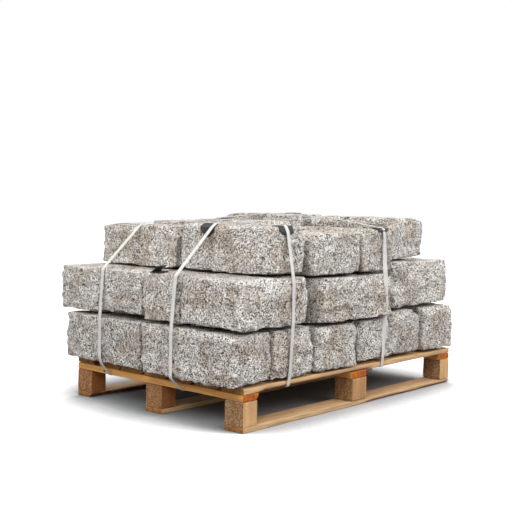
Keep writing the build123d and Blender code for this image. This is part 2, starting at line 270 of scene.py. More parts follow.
world = bpy.data.worlds.new("studio")
scene.world = world
world.use_nodes = True
studio = Network(world.node_tree)
sky = world.node_tree.nodes["Background"]
direction = studio.node("ShaderNodeTexCoord", "Generated")
height = studio.node("ShaderNodeSeparateXYZ", "Z", {0: direction})
heights = {"Value": height, "To Min": SKY_AT_HORIZON, "To Max": SKY_OVERHEAD}
studio.join(WHITE, sky.inputs["Color"])
studio.join(studio.node("ShaderNodeMapRange", 0, heights), sky.inputs["Strength"])
seen = studio.node("ShaderNodeBackground", 0, {"Color": WHITE, "Strength": 1.0})
camera_ray, glossy_ray, clear_ray = (
    studio.node("ShaderNodeLightPath", ray) for ray in ("Is Camera Ray", "Is Glossy Ray", "Is Transmission Ray")
)
white_to = studio.maths("MAXIMUM", studio.maths("MAXIMUM", camera_ray, glossy_ray), clear_ray)
choice = studio.node("ShaderNodeMixShader", 0, {0: white_to, 1: sky.outputs[0], 2: seen})
studio.join(choice, world.node_tree.nodes["World Output"].inputs["Surface"])


def lamp(name, place):
    """A square area lamp at a place, turned towards the middle of the load."""
    data = bpy.data.lights.new(name, "AREA")
    data.size = LAMP_SIZE
    data.energy = LAMP_POWER
    made = bpy.data.objects.new(name, data)
    made.location = place
    made.rotation_euler = (Vector(LAMP_AIM) - Vector(place)).to_track_quat("-Z", "Y").to_euler()
    scene.collection.objects.link(made)


lamp("key", (-3.6, -1.4, 2.9))
lamp("fill", (1.0, -4.0, 3.2))
scene.view_settings.view_transform = "Standard"
print("sky from", SKY_AT_HORIZON, "to", SKY_OVERHEAD, "and two lamps of", LAMP_POWER, "W")

# %% [markdown]
# ## A closed box of points
#
# Stones, boards and blocks all begin as the skin of a box: a lattice of points with the inside left
# out. Each of the six sides is a grid of two parameters, and neighbours share the points along their
# common edge, so the skin is closed. The points are then pushed to where the real surface is. Whole
# arrays of points go straight into the mesh, which is far quicker than adding them one by one.

# %% Lattice skin
def box_skin(xs, ys, zs):
    """
    Points and four-sided faces of a box's skin. The points are all (x, y, z) with at least one
    coordinate at the end of its list; the faces join lattice neighbours and point outwards.
    """
    counts = (len(xs), len(ys), len(zs))
    on_skin = np.zeros(counts, bool)
    on_skin[[0, -1], :, :] = on_skin[:, [0, -1], :] = on_skin[:, :, [0, -1]] = True
    number = np.full(counts, -1)
    number[on_skin] = np.arange(on_skin.sum())
    points = np.stack(np.meshgrid(xs, ys, zs, indexing="ij"), -1)[on_skin]
    faces = []
    for axis in range(3):
        for end, turned in ((0, True), (-1, False)):
            side = np.take(number, end, axis)
            if axis == 1:
                turned = not turned
            quads = np.stack((side[:-1, :-1], side[1:, :-1], side[1:, 1:], side[:-1, 1:]), -1).reshape(-1, 4)
            faces.append(quads[:, ::-1] if turned else quads)
    return points, np.concatenate(faces)


print("a box of 2 x 2 x 2 cells has", len(box_skin(*[range(3)] * 3)[0]), "points on its skin")

# %% Put a surface in the scene
def put_mesh(name, points, faces, material, smooth=True, **attributes):
    """A mesh object at the origin from whole arrays; each attribute is one value or vector a point."""
    mesh = bpy.data.meshes.new(name)
    mesh.vertices.add(len(points))
    mesh.vertices.foreach_set("co", np.asarray(points, np.float32).ravel())
    mesh.loops.add(faces.size)
    mesh.loops.foreach_set("vertex_index", faces.astype(np.int32).ravel())
    mesh.polygons.add(len(faces))
    mesh.polygons.foreach_set("loop_start", np.arange(0, faces.size, faces.shape[1], dtype=np.int32))
    mesh.polygons.foreach_set("use_smooth", np.full(len(faces), smooth))
    mesh.update(calc_edges=True)
    for key, values in attributes.items():
        values = np.asarray(values, np.float32)
        kind, field = ("FLOAT", "value") if values.ndim == 1 else ("FLOAT_VECTOR", "vector")
        layer = mesh.attributes.new(key, kind, "POINT")
        layer.data.foreach_set(field, values.ravel())
    mesh.materials.append(material)
    made = bpy.data.objects.new(name, mesh)
    scene.collection.objects.link(made)
    return made


def stand_for(piece, node):
    """The piece takes a CAD node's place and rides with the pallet."""
    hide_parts(node)
    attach(piece, "root")


def cad_points(node):
    """The corners of a CAD node's triangles, which are loose, so shared corners come several times."""
    mesh = nodes[node].data
    coordinates = np.zeros(len(mesh.vertices) * 3)
    mesh.vertices.foreach_get("co", coordinates)
    return coordinates.reshape(-1, 3)


def cad_box(node):
    """The low and high corner of a CAD node."""
    return (np.array(corner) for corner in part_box(node))


print("one stone's CAD triangles have", len(cad_points("stone_1_front_a")), "corners")

# %% [markdown]
# ## Noise for broken surfaces
#
# Split rock is rough at every scale: a wave as long as the stone, hollows as wide as a hand, chips and
# grains. Adding up smooth noise at growing fineness and falling height gives that. The noise is a
# random number at each corner of a lattice, blended smoothly in between, for all points at once.
# Blender's own displacement could do it too, but then the mesh would need a modifier for each stone.

# %% Noise in numpy
def lattice_values(corner, seed):
    """A repeatable random number from 0 to 1 for each whole-numbered corner, by mixing its three parts."""
    parts = corner.astype(np.int64)
    mixed = parts[:, 0] * 374761393 + parts[:, 1] * 668265263 + parts[:, 2] * 1103515245 + seed * 69069
    mixed = mixed & 0xFFFFFFFF
    mixed = ((mixed ^ (mixed >> 13)) * 1274126177) & 0xFFFFFFFF
    mixed = ((mixed ^ (mixed >> 16)) * 2246822519) & 0xFFFFFFFF
    return ((mixed ^ (mixed >> 15)) & 0xFFFFFF) / 0xFFFFFF


def smooth_noise(points, seed):
    """Noise from 0 to 1 with one hump a unit: the eight corner values, blended by a fifth-degree ease."""
    cell = np.floor(points)
    part = points - cell
    ease = part * part * part * (part * (part * 6 - 15) + 10)
    total = np.zeros(len(points))
    for corner in range(8):
        offset = np.array((corner & 1, corner >> 1 & 1, corner >> 2 & 1))
        weight = np.prod(np.where(offset, ease, 1 - ease), axis=1)
        total += weight * lattice_values(cell + offset, seed)
    return total


# Each layer is turned and shifted against the one before, so that their lattices never line up
LAYER_TURN = np.array(((0.36, 0.48, -0.80), (-0.80, 0.60, 0.0), (0.48, 0.64, 0.60)))
LAYER_SHIFT = 17.3


def rough(points, seed, waves, heights, scalloped=()):
    """
    Noise added up over wavelengths in metres, each layer with its own height and turn. A scalloped
    layer is folded, |2 n - 1|, so that its hollows meet in sharp ridges, as flakes struck off do.
    """
    total = np.zeros(len(points))
    turned = points
    for layer, (wave, height) in enumerate(zip(waves, heights)):
        humps = smooth_noise(turned / wave + LAYER_SHIFT * layer, seed + layer)
        total += height * (np.abs(2 * humps - 1) if layer in scalloped else humps)
        turned = turned @ LAYER_TURN
    return total


print("noise at one point:", rough(np.zeros((1, 3)) + 0.1, 1, (0.1, 0.03), (1, 0.5)))

# %% [markdown]
# ## Split granite
#
# Each block was split off with wedges and trimmed with a hammer, so it has four rough faces, two
# flatter beds, and edges struck off at a slant. The CAD solid holds those planes. A sculpted or
# displaced cube would lose them, so each point of the skin is sent out from the stone's middle until
# it meets the nearest plane. Before that, every plane is worn back by its own noise. Where two worn
# planes meet, the edge comes out ragged by itself, as a broken edge is.

# %% Planes of a stone
def planes_of(node):
    """The flat faces of a CAD node: outward normals and their distances from the origin, each once."""
    mesh = nodes[node].data
    normals = np.zeros(len(mesh.polygons) * 3)
    centres = np.zeros(len(mesh.polygons) * 3)
    mesh.polygons.foreach_get("normal", normals)
    mesh.polygons.foreach_get("center", centres)
    normals, centres = normals.reshape(-1, 3), centres.reshape(-1, 3)
    rounded = np.round(np.column_stack((normals * 400, (normals * centres).sum(1) * 4000)))
    kept = np.unique(rounded, axis=0, return_index=True)[1]
    return normals[kept], (normals[kept] * centres[kept]).sum(1)


print("planes of one stone:", len(planes_of("stone_1_front_a")[0]))

# %% How a stone is worn
FACE_WAVES = (0.230, 0.100, 0.055, 0.026, 0.012)
FACE_HEIGHTS = (0.0060, 0.0055, 0.0095, 0.0044, 0.0026)
SCALLOPED = (2, 3)
# The noise is lifted so that a face is worn by little on average, and softly held at the least wear
MEAN_WEAR, LEAST_WEAR, SOFTENING = 0.0014, -0.0015, 0.0008
MEAN_LIFT = 0.0108 - MEAN_WEAR
# Shares of the full noise: on the upper bed, which split cleanly, on struck edges and on the lower bed
TOP_SHARE, STRUCK_SHARE, UNDERSIDE_SHARE = 0.40, 1.35, 0.90
UNDERSIDE_LIFT = 0.0035
SQUARE_ON = 0.97         # a normal this near to an axis belongs to a bed or a face, not to a struck edge


def wear_of(normal):
    """How much a face of that direction is worn, and how far its noise is first lifted outwards."""
    if normal[2] > SQUARE_ON:
        return TOP_SHARE, MEAN_LIFT
    if normal[2] < -SQUARE_ON:
        return UNDERSIDE_SHARE, UNDERSIDE_LIFT
    return (1.0 if np.abs(normal).max() > SQUARE_ON else STRUCK_SHARE), MEAN_LIFT


def worn_depth(points, normal, seed):
    """How far a plane is worn back at the points: its noise less the lift, never under the least wear."""
    share, lift = wear_of(normal)
    depth = share * (rough(points, seed, FACE_WAVES, FACE_HEIGHTS, SCALLOPED) - lift)
    return np.logaddexp(0, (depth - LEAST_WEAR) / SOFTENING) * SOFTENING + LEAST_WEAR


print("an upper bed gets", TOP_SHARE, "of the noise and a struck edge", STRUCK_SHARE)

# %% Surface of a stone
NEARLY_MET = 0.84        # a plane counts for a ray if it is met at this share of the nearest one
EDGE_SHARPNESS, EDGE_FROM = 1000, 0.93
CHIP_WAVE, CHIP_DEPTH, CHIP_FROM = 0.018, 0.0040, 0.45


def stone_surface(node, spacing, seed):
    """
    A split stone's points, faces and nearness to an edge. Along a ray d from the middle, plane i with
    normal n and distance h is met at the share 1 / g of d, where g = n.d / h. The surface lies at the
    greatest g, blended as (sum of g to a high power) to the inverse power, so edges are rounded.
    """
    low, high = cad_box(node)
    middle, half = (low + high) / 2, (high - low) / 2
    axes = [np.linspace(-h, h, max(int(round(2 * h / spacing)), 4) + 1) for h in half]
    rays, faces = box_skin(*axes)
    normals, offsets = planes_of(node)
    reach = offsets - normals @ middle
    shares = rays @ normals.T / reach
    greatest = shares.max(1)
    met = middle + rays / greatest[:, None]
    worn = np.zeros_like(shares)
    for i, normal in enumerate(normals):
        near = shares[:, i] > NEARLY_MET * greatest
        worn[near, i] = shares[near, i] * reach[i] / (reach[i] - worn_depth(met[near], normal, seed * 100 + i))
    top = worn.max(1)
    ranked = np.sort(worn, 1)
    edge = np.clip((ranked[:, -2] / ranked[:, -1] - EDGE_FROM) / (1 - EDGE_FROM), 0, 1)
    blended = top * ((worn / top[:, None]) ** EDGE_SHARPNESS).sum(1) ** (1 / EDGE_SHARPNESS)
    outward = rays / np.linalg.norm(rays, axis=1)[:, None]
    points = middle + rays / blended[:, None]
    chips = smooth_noise(points / CHIP_WAVE + seed, seed)
    chips = np.clip(chips - CHIP_FROM, 0, 1) / (1 - CHIP_FROM) * edge * CHIP_DEPTH
    return np.clip(points - outward * chips[:, None], cad_low, cad_high), faces, edge


print("edges chip by up to", CHIP_DEPTH, "m")

# %% [markdown]
# ## Granite
#
# The rock is an even mix of grains a few millimetres across: black mica, grey glassy quartz, pale
# feldspar and a little of it cream. Packed cells give the grains, each with a random number that picks
# its mineral. A second, coarser packing adds flakes of mica: a dark dot round each cell's middle, as
# wide as that cell's own number allows. An image of granite would show its repeats, and these don't
# repeat. Over the grains lie warm stains, slow clouds of tone and a pale bruising along the edges,
# where the hammer struck.

# %% Granite finish
GRAINS_PER_METRE, MICA_PER_METRE = 330.0, 220.0
MINERALS = (
    (0.00, linear(16, 15, 14)),
    (0.14, linear(124, 117, 109)),
    (0.26, linear(208, 199, 188)),
    (0.40, linear(249, 243, 235)),
    (0.75, linear(254, 251, 247)),
)


def mica_flakes(finish, place):
    """Dark where the distance from a cell's middle plus 0.3 of its draw is under 0.445, white elsewhere."""
    draw = finish.node("ShaderNodeSeparateColor", 0, {0: finish.cells(place, MICA_PER_METRE)})
    from_middle = finish.cells(place, MICA_PER_METRE, "Distance")
    reach = finish.maths("ADD", from_middle, finish.maths("MULTIPLY", draw, 0.30))
    return finish.ramp(reach, ((0.445, linear(10, 10, 10)), (0.50, 1.0)))


def granite():
    finish = Finish("granite", roughness=0.82)
    place = finish.place()
    split = finish.node("ShaderNodeSeparateColor", 0, {0: finish.cells(place, GRAINS_PER_METRE)})
    colour = finish.times(finish.ramp(split, MINERALS, "CONSTANT"), mica_flakes(finish, place))
    stain_stops = ((0.47, WHITE), (0.58, linear(220, 209, 198)))
    stain = finish.ramp(finish.noise(place, 11.0, 6.0, 0.65), stain_stops)
    colour = finish.mix(0.9, colour, stain, "MULTIPLY")
    colour = finish.times(colour, finish.ramp(finish.noise(place, 6.0, 5.0), ((0.35, 0.86), (0.65, 1.0))))
    patchy = finish.ramp(finish.noise(place, 60.0), ((0.4, 0.0), (0.7, 0.5)))
    bruise = finish.maths("MULTIPLY", finish.attribute("edge"), patchy)
    colour = finish.mix(bruise, colour, linear(232, 229, 224))
    colour = finish.times(colour, finish.attribute("tone"))
    relief = finish.maths("ADD", split, finish.noise(place, GRAINS_PER_METRE, 2.0))
    return finish.painted(colour, relief, 0.0012)


GRANITE = granite()
print("granite has", len(GRANITE.node_tree.nodes), "nodes")

# %% Lay the stones
STONE_SPACING = 0.0050
stone_names = sorted(name for name in nodes if name.startswith("stone_"))
tones = np.random.default_rng(11).uniform(0.93, 1.05, len(stone_names))
faces_made = 0
for seed, (node, tone) in enumerate(zip(stone_names, tones), 1):
    points, faces, edge = stone_surface(node, STONE_SPACING, seed)
    looks = {"edge": edge, "tone": np.full(len(points), tone)}
    block = put_mesh(node.replace("stone", "walling"), points, faces, GRANITE, False, **looks)
    stand_for(block, node)
    faces_made += len(faces)
print("stones:", len(stone_names), "triangles:", faces_made * 2)

# %% [markdown]
# ## Sawn timber
#
# The pallet is nailed from rough-sawn softwood boards on blocks of pressed chips. A board is a flat
# box whose edges were never planed: they are a little rounded, wavy along their length and torn in
# places. A Bevel modifier would make them all alike. Here the skin is the lattice again, with extra
# rows of points at the edges, its corners rounded and its sides worn in by long, low noise.

# %% Rounded, worn boxes
BOARD_EDGE, BLOCK_EDGE = 0.0025, 0.0020
BOARD_SPACING, BOARD_WEAR = 0.008, 0.0012
LONG_SIDE = 0.3          # a side longer than this gets wider spacing and longer waves
RIM = np.array((0.0, 0.25, 0.6))


def stations(length, spacing, edge):
    """Places along one side of a box, from minus to plus half: close together at the edges."""
    half = length / 2
    inner = np.linspace(-half + edge, half - edge, max(int(round(length / spacing)), 1) + 1)
    rim = half - edge * RIM
    return np.concatenate((-rim, inner, rim[::-1]))


def rounded_skin(size, spacings, edge):
    """
    A box's skin ready to be rounded: its points q, the nearest points c of the box that is one edge
    radius smaller, the directions (q - c) / |q - c| from there, and the faces.
    """
    skin, faces = box_skin(*(stations(s, spacing, edge) for s, spacing in zip(size, spacings)))
    core = np.clip(skin, edge - size / 2, size / 2 - edge)
    out = skin - core
    return skin, core, out / np.linalg.norm(out, axis=1)[:, None], faces


def timber_surface(node, seed):
    """A sawn board's points and faces: c + r (q - c) / |q - c|, less the local wear."""
    low, high = cad_box(node)
    middle, size = (low + high) / 2, high - low
    spacings = BOARD_SPACING * np.where(size > LONG_SIDE, 3, 1)
    skin, core, out, faces = rounded_skin(size, spacings, BOARD_EDGE)
    wave = np.where(size > LONG_SIDE, 0.35, 0.05)
    wear = BOARD_WEAR * smooth_noise(skin / wave + seed * 7.7, seed)
    wear += BOARD_WEAR * 0.5 * smooth_noise(skin / (wave / 6) + seed * 3.1, seed + 50)
    return middle + core + out * (BOARD_EDGE - wear)[:, None], faces


print("a deck board has", len(timber_surface("deck_board_1", 1)[0]), "points")

# %% [markdown]
# ## Wane
#
# Cheap pallet boards are cut from the outside of the log, so one long edge is often missing and shows
# the log's round outside with its bark. It is cut here as a slant whose width wanders along the board,
# by moving the points near that edge, and the mesh carries how much bark shows at each point. On the
# rear bottom board that dark bark is painted shade: its front edge lies in shade inside the pallet.

# %% Wane along a board
# The side across and the side up that meet at the edge, where the wane starts and ends as shares of
# the length, and its width, measured over both sides
WANES = {
    "deck_board_1": (-1, -1, 0.05, 0.56, 0.0065),
    "deck_board_7": (-1, 1, -0.1, 0.9, 0.018),
    "bottom_board_front": (-1, -1, 0.50, 1.1, 0.007),
    # The rear bottom board's bark along its lower front edge is painted shade, as that side lies in shade inside
    # the pallet
    "bottom_board_rear": (-1, -1, -0.1, 1.1, 0.014),
    "stringer_left": (1, -1, -0.1, 1.1, 0.012),
    "stringer_middle": (1, -1, -0.1, 1.1, 0.009),
}
WANE_FADE, BARK_FROM = 0.03, 0.0012
WANE_LEAST, WANE_WAVES, WANE_WANDERS = 0.55, (0.11, 0.018), (0.6, 0.3)


def inwards_of(points, axis, side):
    """How far each point lies in from the low (-1) or high (1) side along an axis."""
    return points[:, axis].max() - points[:, axis] if side > 0 else points[:, axis] - points[:, axis].min()


def waney(points, node, along, seed):
    """
    The points with their wane cut, and how much bark shows at each; on the rear bottom board that bark is
    painted shade. With a and b for a point's distances in from the two sides, a point with a + b under the
    wane's width w moves in by (w - a - b) / 2 along both, which leaves a slant; w wanders along the board
    with low noise.
    """
    if node not in WANES:
        return points, np.zeros(len(points))
    side, up, start, end, width = WANES[node]
    across = 1 - along
    inwards = inwards_of(points, across, side) + inwards_of(points, 2, up)
    share = inwards_of(points, along, -1) / np.ptp(points[:, along])
    line = np.column_stack((points[:, along], np.zeros((len(points), 2))))
    wander = WANE_LEAST
    for wave, height, noise_seed in zip(WANE_WAVES, WANE_WANDERS, (seed, seed + 9)):
        wander = wander + height * smooth_noise(line / wave + seed, noise_seed)
    held = np.clip((share - start) / WANE_FADE, 0, 1) * np.clip((end - share) / WANE_FADE, 0, 1)
    cut = np.clip(width * held * wander - inwards, 0, None) / 2
    moved = points.copy()
    moved[:, across] -= side * cut
    moved[:, 2] -= up * cut
    return moved, np.clip(cut / BARK_FROM, 0, 1)


print("boards with a wane:", len(WANES))

# %% [markdown]
# ## Softwood
#
# Spruce is pale yellow with darker yearly rings a few millimetres apart, orange where the end grain
# drinks in the wet, and soiled by handling. The end grain is made darker and more orange, partly as it
# soaks up the wet and partly as painted shade, as the ends of the deck boards lie in shade under the
# stones. The rings of a log are circles round its heart, and a board is a slice of them. So each board
# carries grain coordinates: along the board, and across it measured from the heart, which lies outside
# the board. The ring is the distance from the heart, bent by slow noise and cut into repeating steps.
# Noise stretched along the grain gives streaks, bands and scuffs, and cells on the same coordinates
# give the knots.

# %% Grain coordinates
def grain_of(points, along, seed):
    """Grain coordinates: along the board, then across it from a heart that lies outside the board."""
    draw = np.random.default_rng(seed)
    across = 1 - along
    centre = points.mean(0)
    heart_side = draw.uniform(-0.03, 0.03)
    heart_depth = draw.uniform(0.03, 0.09) * draw.choice((-1, 1))
    return np.column_stack((
        points[:, along] + draw.uniform(0, 9),
        points[:, across] - centre[across] + heart_side,
        points[:, 2] - centre[2] + heart_depth,
    ))


print("grain of a point at the origin:", grain_of(np.zeros((1, 3)), 0, 30))

# %% Softwood finish
RINGS_PER_METRE, RING_SWAY = 260.0, 0.03
KNOTS_PER_METRE = 12.0
SCUFF, KNOT = linear(78, 58, 44), linear(96, 58, 34)
DARK_BARK_AND_SHADE, PALE_BARK_AND_SHADE = linear(84, 42, 20), linear(176, 98, 44)


def growth_rings(finish, grain, early, late):
    """The rings' colours, and the saw tooth from 0 to 1 across each ring that they follow."""
    slow = finish.moved(grain, (1.2, 14.0, 14.0))
    bent = finish.node("ShaderNodeTexNoise", "Color", {"Vector": slow, "Scale": 1.0, "Detail": 2.0})
    sway = finish.mix(RING_SWAY, BLACK, bent)
    swayed = finish.node("ShaderNodeVectorMath", 0, {0: grain, 1: sway}, operation="ADD")
    flat = finish.moved(swayed, (0.0, 1.0, 1.0))
    radius = finish.node("ShaderNodeVectorMath", "Value", {0: flat}, operation="LENGTH")
    ring = finish.maths("FRACT", finish.maths("MULTIPLY", radius, RINGS_PER_METRE))
    return finish.ramp(ring, ((0.0, early), (0.62, early), (0.9, late), (1.0, early))), ring


def softwood(name, early, late, stained, soaked_and_shaded_end):
    """A board's finish from its colours: early and late wood, stains, and the end grain's soaked colour with
    painted shade.
    """
    finish = Finish(name, roughness=0.72)
    grain = finish.attribute("grain", "Vector")

    def stretched(along, across, detail, roughness=0.55):
        """Noise with so many waves a metre along the grain and across it."""
        return finish.noise(finish.moved(grain, (along, across, across)), 1.0, detail, roughness)

    colour, ring = growth_rings(finish, grain, early, late)
    streak = stretched(9.0, 420.0, 3.0, 0.6)
    colour = finish.times(colour, finish.ramp(streak, ((0.3, 0.74), (0.66, 1.0))))
    colour = finish.times(colour, finish.ramp(stretched(9.0, 170.0, 4.0, 0.6), ((0.38, 0.72), (0.56, 1.0))))
    colour = finish.mix(finish.ramp(stretched(3.0, 12.0, 3.0), ((0.45, 0.0), (0.75, 0.55))), colour, stained)
    colour = finish.mix(finish.ramp(stretched(22.0, 130.0, 5.0), ((0.66, 0.0), (0.72, 0.6))), colour, SCUFF)
    from_knot = finish.cells(grain, KNOTS_PER_METRE, "Distance")
    colour = finish.mix(finish.ramp(from_knot, ((0.0, 0.75), (0.055, 0.95), (0.075, 0.0))), colour, KNOT)
    weathered = finish.ramp(finish.noise(grain, 90.0, 4.0), ((0.36, 0.46), (0.60, 1.0)))
    # End grain: its own soaking, and painted shade for the board ends that lie in shade under the stones
    end_grain_and_shade = finish.times(finish.times(colour, soaked_and_shaded_end), weathered)
    colour = finish.mix(finish.attribute("end"), colour, end_grain_and_shade)
    # Bark where the wane cuts in; on the rear bottom board this dark bark is painted shade
    bark_and_shade_colour = finish.ramp(stretched(40.0, 220.0, 4.0), ((0.38, DARK_BARK_AND_SHADE), (0.62, PALE_BARK_AND_SHADE)))
    colour = finish.mix(finish.attribute("bark"), colour, bark_and_shade_colour)
    height = finish.maths("ADD", streak, finish.maths("MULTIPLY", ring, -0.25))
    return finish.painted(colour, height, 0.0011)


DECK_WOOD = softwood(
    "deck_wood", linear(240, 200, 150), linear(212, 158, 106), linear(176, 134, 92), linear(212, 176, 120)
)
STRINGER_WOOD = softwood(
    "stringer_wood", linear(254, 190, 106), linear(222, 142, 68), linear(184, 112, 54), linear(246, 178, 62)
)
print("softwood has", len(DECK_WOOD.node_tree.nodes), "nodes")

# %% Lay the boards
board_names = sorted(name for name in nodes if "board" in name or name.startswith("stringer"))
for seed, node in enumerate(board_names):
    along, wood = (1, STRINGER_WOOD) if node.startswith("stringer") else (0, DECK_WOOD)
    points, faces = timber_surface(node, seed + 1)
    points, bark = waney(points, node, along, seed)
    reached = np.abs(points[:, along])
    looks = {
        "grain": grain_of(points, along, seed + 30),
        "end": reached.max() - reached < BOARD_EDGE * 0.7,
        "bark": bark,
    }
    stand_for(put_mesh("sawn_" + node, points, faces, wood, **looks), node)
print("boards:", len(board_names))

# %% [markdown]
# ## Blocks of pressed chips
#
# The nine blocks are pressed from wood chips and sawn to length. The two sawn ends of a block show a
# mosaic of cut chips, dark and pale. Its pressed sides are smooth and even, like cardboard. So each
# mesh carries which side it is, and how much painted shade it takes: the blocks inside the pallet,
# shaded by the deck and the blocks in front, are painted darker and more orange. Packed cells give the
# chips. Each CAD node of three blocks becomes three skins joined in one mesh.

# %% Chip finish
CHIPS_PER_METRE = 420.0
CUT_CHIPS = ((0.0, linear(98, 70, 46)), (0.5, linear(170, 127, 86)), (1.0, linear(226, 186, 140)))
# The pressed sides in the block's own colour, and as painted shade for the blocks that stand inside the pallet
UNSHADED_SIDE = ((0.0, linear(244, 188, 128)), (1.0, linear(254, 212, 154)))
PAINTED_SHADE_SIDE = ((0.0, linear(162, 96, 44)), (1.0, linear(184, 114, 56)))


def chipboard():
    finish = Finish("pressed_chips", roughness=0.85)
    place = finish.place()
    flake = finish.node("ShaderNodeSeparateColor", 0, {0: finish.cells(place, CHIPS_PER_METRE)})
    # Painted shade: the blocks further inside the pallet get darker, more orange pressed sides and orange-tinted
    # sawn ends
    age = finish.attribute("age")
    ends = finish.times(finish.ramp(flake, CUT_CHIPS), finish.mix(age, WHITE, linear(255, 234, 210)))
    sides = finish.mix(age, finish.ramp(flake, UNSHADED_SIDE), finish.ramp(flake, PAINTED_SHADE_SIDE))
    colour = finish.mix(finish.attribute("sawn"), sides, ends)
    layers = finish.noise(finish.moved(place, (30, 30, 2)), 1.0, 2.0)
    colour = finish.times(colour, finish.ramp(layers, ((0.35, 0.74), (0.65, 1.0))))
    dust = finish.ramp(finish.noise(place, 7.0, 3.0), ((0.35, 0.84), (0.65, 1.0)))
    return finish.painted(finish.times(colour, dust), flake, 0.0008)


CHIPBOARD = chipboard()
print("chipboard has", len(CHIPBOARD.node_tree.nodes), "nodes")

# %% Lay the blocks
BLOCK_SPACING, BLOCK_GAP = 0.007, 0.1
BLOCK_WAVES, BLOCK_WEAR = (0.03, 0.009), (0.0006, 0.0008)
# How much painted shade the blocks take, in each column from front to rear: more for those inside the pallet
BLOCK_PAINTED_SHADES = {"left": (0.2, 0.95, 1.0), "middle": (0.5, 0.9, 0.8), "right": (0.05, 0.7, 0.6)}


def islands(node):
    """The boxes of a node's separate solids: its points sorted along Y and cut at the wide gaps."""
    points = cad_points(node)
    ordered = points[np.argsort(points[:, 1])]
    cuts = np.flatnonzero(np.diff(ordered[:, 1]) > BLOCK_GAP) + 1
    return [(part.min(0), part.max(0)) for part in np.split(ordered, cuts)]


def block_surface(low, high, seed):
    """One pressed block's points and faces, rounded and worn as a board is, and where it was sawn."""
    middle, size = (low + high) / 2, high - low
    skin, core, out, faces = rounded_skin(size, (BLOCK_SPACING,) * 3, BLOCK_EDGE)
    wear = rough(skin + seed, seed, BLOCK_WAVES, BLOCK_WEAR)
    return middle + core + out * (BLOCK_EDGE - wear)[:, None], faces, np.abs(out[:, 0]) > 0.7


for column, row_shades in BLOCK_PAINTED_SHADES.items():
    node = "blocks_" + column
    parts = [block_surface(*box, row + 5 * len(column)) for row, box in enumerate(islands(node))]
    counts = [len(points) for points, _, _ in parts]
    firsts = np.cumsum([0] + counts[:-1])
    points = np.concatenate([points for points, _, _ in parts])
    faces = np.concatenate([faces + first for (_, faces, _), first in zip(parts, firsts)])
    looks = {"sawn": np.concatenate([sawn for _, _, sawn in parts]), "age": np.repeat(row_shades, counts)}
    stand_for(put_mesh("pressed_" + node, points, faces, CHIPBOARD, **looks), node)
    print(node, "has", len(points), "points")

# %% [markdown]
# ## Woven straps
#
# Four flat polyester straps run round the load. Each was pulled tight, so it runs straight between the
# corners it touches and bends over them. The CAD strap gives that line. Here its flat section is
# carried along the line, a little thicker in the middle than at its woven edges, and it drifts
# sideways by a few millimetres, as no strap is laid quite true. On the way down one side, one strap
# has turned half over.

# %% The line of a strap
STRAP_STEP, STRAP_BEND = 0.005, 0.008


def outline_of(node, across):
    """The outer corners of a CAD strap in its own plane, as a closed convex line, anticlockwise."""
    flat = np.unique(np.round(cad_points(node)[:, [1 - across, 2]], 6), axis=0)
    hull = []
    for ordered in (flat, flat[::-1]):
        chain = []
        for point in ordered:
            while len(chain) > 1:
                (ax, ay), (bx, by) = chain[-1] - chain[-2], point - chain[-2]
                if ax * by - ay * bx > 1e-9:
                    break
                chain.pop()
            chain.append(point)
        hull += chain[:-1]
    return np.array(hull)


def rounded_line(corners):
    """A closed line through the corners, one point a step, smoothed over the radius at each bend."""
    ends = np.roll(corners, -1, 0)
    lengths = np.linalg.norm(ends - corners, axis=1)
    reached = np.concatenate(([0], np.cumsum(lengths)))
    at = np.linspace(0, reached[-1], int(reached[-1] / STRAP_STEP), endpoint=False)
    closed = np.vstack((corners, corners[:1]))
    line = np.column_stack([np.interp(at, reached, closed[:, k]) for k in (0, 1)])
    window = max(int(STRAP_BEND / STRAP_STEP), 1)
    kernel = np.hanning(2 * window + 3)[1:-1]
    kernel /= kernel.sum()
    wrapped = np.vstack((line[-window:], line, line[:window]))
    return np.column_stack([np.convolve(wrapped[:, k], kernel, "valid") for k in (0, 1)])


print("the front strap has", len(outline_of("strap_front", 1)), "corners")

# %% Surface of a strap
STRAP_WIDTH, STRAP_THICK = 0.0165, 0.0011
RING, HALF_RING = 16, 9
WOVEN_EDGE = 0.25        # the share of its thickness that a strap keeps at its edges
DRIFT = 0.002
# Where a strap turned half over on its way down: from one height to another, and the most, in radians
TURNED_OVER = {"strap_right": (0.14, 0.60, 1.05)}


def turn_of(node, line):
    """How far the strap is turned at each station of its line, eased in and out between two heights."""
    lowest, highest, most = TURNED_OVER.get(node, (0.0, 1.0, 0.0))
    eased_over = (highest - lowest) * 0.35
    fall = np.clip((line[:, 1] - lowest) / eased_over, 0, 1) * np.clip((highest - line[:, 1]) / eased_over, 0, 1)
    at_front = line[:, 0] < line[:, 0].mean()
    return (most * at_front * fall * fall * (3 - 2 * fall))[:, None]


def drift_of(count, seed):
    """The strap's wandering to one side: three waves round the loop, with drawn heights and starts."""
    turn = np.arange(count) / count * 2 * pi
    draw = np.random.default_rng(seed)
    return sum(draw.uniform(-1, 1) * np.sin(k * turn + draw.uniform(0, 6)) / k for k in (2, 3, 5)) * DRIFT


